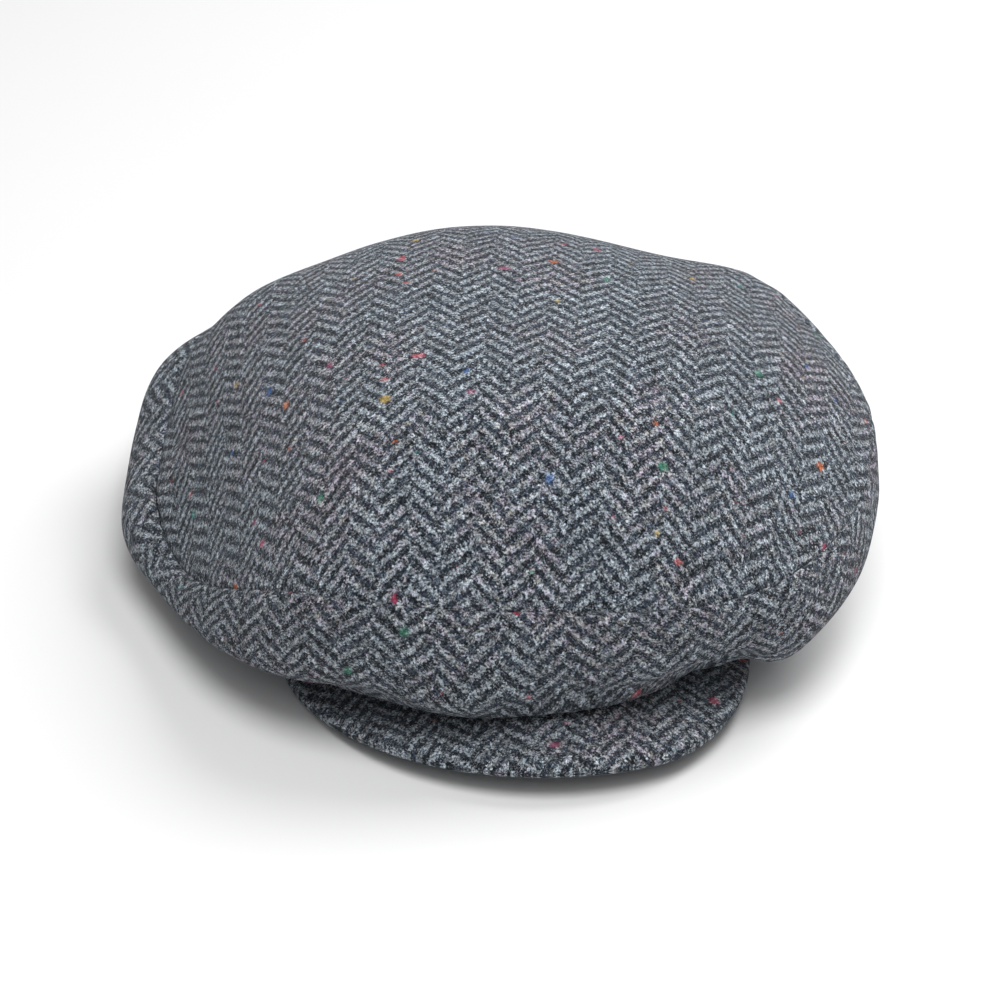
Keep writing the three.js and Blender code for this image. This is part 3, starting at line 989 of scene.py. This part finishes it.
def under_top(x, y, depth):
    """Points under the top panel's settled cloth, by places from the crown's highest point."""
    grid = (skin - skin_normals * depth)[:TOP_COUNT]
    flat = grid[:, :2] - CROWN_TOP[:2]
    x_gap, y_gap = flat[:, 0][None] - x[:, None], flat[:, 1][None] - y[:, None]
    near = np.argsort(x_gap**2 + y_gap**2)[:, :6]
    gap = np.hypot(flat[near, 0] - x[:, None], flat[near, 1] - y[:, None]) + 0.4
    weight = 1 / gap**2
    height = (grid[near, 2] * weight).sum(1) / weight.sum(1)
    return np.stack([CROWN_TOP[0] + x, CROWN_TOP[1] + y, height], axis=-1)


label_u = np.linspace(-0.5, 0.5, LABEL_CELLS[0] + 1) * LABEL_WIDTH
label_v = np.linspace(-0.5, 0.5, LABEL_CELLS[1] + 1) * LABEL_LENGTH
gu, gv = (a.ravel() for a in np.meshgrid(label_u, label_v, indexing="ij"))
rise = 1 - np.maximum(np.abs(gu) / (LABEL_WIDTH / 2), np.abs(gv) / (LABEL_LENGTH / 2)) ** 6
label_points = under_top(gu, gv, LABEL_DEPTH)
label_points[:, 2] -= 0.5 * rise
label_faces = [face[::-1] for face in strip_faces(len(label_u), len(label_v), wrap=False)]
label = cloth_piece("label_woven", label_points, label_faces, np.stack([gu, gv], -1),
                    LABEL_THICKNESS, smooth=1)
wear(label, LABEL, node="label")

edge = []
inset = np.array([LABEL_WIDTH, LABEL_LENGTH]) / 2 - LABEL_STITCH_INSET
for axis, count in enumerate(LABEL_STITCHES):
    at = ((np.arange(count) + 0.2) / count - 0.5) * 2 * inset[axis]
    reach = STITCH_SHARE / count * 2 * inset[axis]
    for side in (-1, 1):
        level = 0 * at + side * inset[1 - axis]
        pair = [(at, level), (at + reach, level)]
        edge.append([point if axis == 0 else point[::-1] for point in pair])
start_uv = np.hstack([np.array(a) for a, _ in edge])
end_uv = np.hstack([np.array(b) for _, b in edge])
label_start = under_top(*start_uv, LABEL_DEPTH + 0.55)
label_end = under_top(*end_uv, LABEL_DEPTH + 0.55)
downward = np.tile([0, 0, -1.0], (len(label_start), 1))
label_stitches = stitches("label_stitches", label_start, label_end, downward, thread=0.22)
wear(label_stitches, PALE_THREAD)

# ---------------------------------------------------------------- peak


def peak_depth(share):
    """How far the peak stands out from the rim. Its right end falls away faster."""
    halves = []
    for half in (PEAK_LEFT, PEAK_RIGHT):
        gone = np.minimum(1, np.abs(share - PEAK_MIDDLE) / half["reach"]) ** half["rounding"]
        halves.append(PEAK_DEPTH * (1 - gone) ** half["taper"])
    left_end = np.sqrt(1 - (np.minimum(share, 0) / 0.97) ** 8)
    return np.where(share < PEAK_MIDDLE, *halves) * left_end


def peak_points(share, out, up):
    """Points of the peak: share goes left to right, out from the rim, up from its mid-plane."""
    direction = share * PEAK_HALF_ANGLE
    rim = distance_to_rim(0, 0, direction)
    base = rim_height(-rim * np.cos(direction))
    height = base + up - math.tan(PEAK_SLOPE) * out
    return place(rim + out, height, direction, HEAD)


def peak_cover(name, side):
    """One cover of the peak. side is 1 for the top and -1 for the underside."""
    share = np.linspace(*PEAK_ENDS, PEAK_STEPS + 1)
    depth = peak_depth(share)
    root = PEAK_TOP_START if side > 0 else PEAK_UNDER_START
    full = side * PEAK_HALF_THICKNESS
    flat_end = depth - PEAK_HALF_THICKNESS
    rows, places = [], []
    for step in np.linspace(0, 1, PEAK_ROWS):
        out = -PEAK_TUCK + step * (flat_end + PEAK_TUCK)
        up = root + (full - root) * ease(out / PEAK_ROOT)
        rows.append(peak_points(share, out, up))
        places.append(out * math.sqrt(1 + math.tan(PEAK_SLOPE) ** 2))
    for angle in np.linspace(0, math.pi / 2, 7)[1:]:
        out = flat_end + PEAK_HALF_THICKNESS * math.sin(angle) - PEAK_LAST_ROW_IN * (angle > 1.5)
        up = full * math.cos(angle)
        rows.append(peak_points(share, out, up + 0 * out))
        places.append(flat_end + PEAK_HALF_THICKNESS * angle)
    points = np.array(rows)
    reach = distance_to_rim(0, 0, share * PEAK_HALF_ANGLE) + np.array(places)
    turn = share * PEAK_HALF_ANGLE
    uv = np.stack([reach * np.sin(turn), -reach * np.cos(turn)], axis=-1)
    faces = strip_faces(len(rows), PEAK_STEPS + 1, wrap=False)
    if side < 0:
        faces = [face[::-1] for face in faces]
    return cloth_piece(name, points.reshape(-1, 3), faces, uv.reshape(-1, 2), PEAK_CLOTH, smooth=1)


def board():
    share = np.linspace(*BOARD_ENDS, 121)
    depth = peak_depth(share)
    width = depth - BOARD_ROOT - BOARD_INSET
    rows = [peak_points(share, BOARD_ROOT + step * width, BOARD_HALF_THICKNESS + 0 * depth)
            for step in np.linspace(0, 1, 12)]
    faces = strip_faces(len(rows), len(share), wrap=False)
    made = mesh_object("peak_board_plastic", np.array(rows).reshape(-1, 3), faces)
    solid = made.modifiers.new("thickness", "SOLIDIFY")
    solid.thickness = 2 * BOARD_HALF_THICKNESS * MM
    solid.offset = -1
    edge = made.modifiers.new("edge", "BEVEL")
    edge.width = BOARD_EDGE_RADIUS * MM
    edge.segments = 2
    return apply_modifiers(made)


peak_pieces = [
    (peak_cover("peak_top_cover_cloth", 1), TWEED, "tweed", "peak_top_cover"),
    (peak_cover("peak_under_cover_cloth", -1), TWEED, "tweed", "peak_under_cover"),
    (board(), BOARD, "board_plastic", "peak_board"),
]
for piece, material, slot, node in peak_pieces:
    wear(piece, material, body=None, node=node)
    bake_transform(piece)

# ---------------------------------------------------------------- stage, light and camera

CAMERA_AZIMUTH = math.radians(-9)
CAMERA_ELEVATION = math.radians(35)
CAMERA_DISTANCE = 1.1
CAMERA_LENS = 114.8
CAMERA_TARGET = Vector((-0.0059, -0.0296, 0.052))


def direction_from(azimuth, elevation):
    return Vector((math.sin(azimuth) * math.cos(elevation),
                   -math.cos(azimuth) * math.cos(elevation), math.sin(elevation)))


def add_camera():
    camera = bpy.data.objects.new("camera", bpy.data.cameras.new("camera"))
    away = direction_from(CAMERA_AZIMUTH, CAMERA_ELEVATION)
    camera.location = CAMERA_TARGET + away * CAMERA_DISTANCE
    camera.rotation_euler = (-away).to_track_quat("-Z", "Y").to_euler()
    camera.data.lens = CAMERA_LENS
    bpy.context.scene.collection.objects.link(camera)
    bpy.context.scene.camera = camera


def add_softbox(name, azimuth, elevation, distance, size, power):
    lamp = bpy.data.lights.new(name, "AREA")
    lamp.shape = "DISK"
    lamp.size = size
    lamp.energy = power
    box = bpy.data.objects.new(name, lamp)
    away = direction_from(math.radians(azimuth), math.radians(elevation))
    box.location = away * distance
    box.rotation_euler = (-away).to_track_quat("-Z", "Y").to_euler()
    bpy.context.scene.collection.objects.link(box)


def add_floor():
    half = 8.0
    corners = [(-half, -half, 0), (half, -half, 0), (half, half, 0), (-half, half, 0)]
    floor = mesh_object("floor", np.array(corners) / MM, [(0, 1, 2, 3)])
    floor.data.materials.append(floor_material())


def add_world():
    world = bpy.data.worlds.new("studio")
    world.use_nodes = True
    sky = world.node_tree.nodes["Background"]
    sky.inputs["Color"].default_value = (1, 1, 1, 1)
    sky.inputs["Strength"].default_value = 0.3
    bpy.context.scene.world = world


add_camera()
add_floor()
add_world()
add_softbox("key", azimuth=118, elevation=54, distance=1.6, size=1.1, power=20)
add_softbox("front", azimuth=-2, elevation=52, distance=1.6, size=0.8, power=4)
add_softbox("top", azimuth=-5, elevation=70, distance=1.6, size=0.8, power=16)
bpy.context.scene.view_settings.view_transform = "Standard"
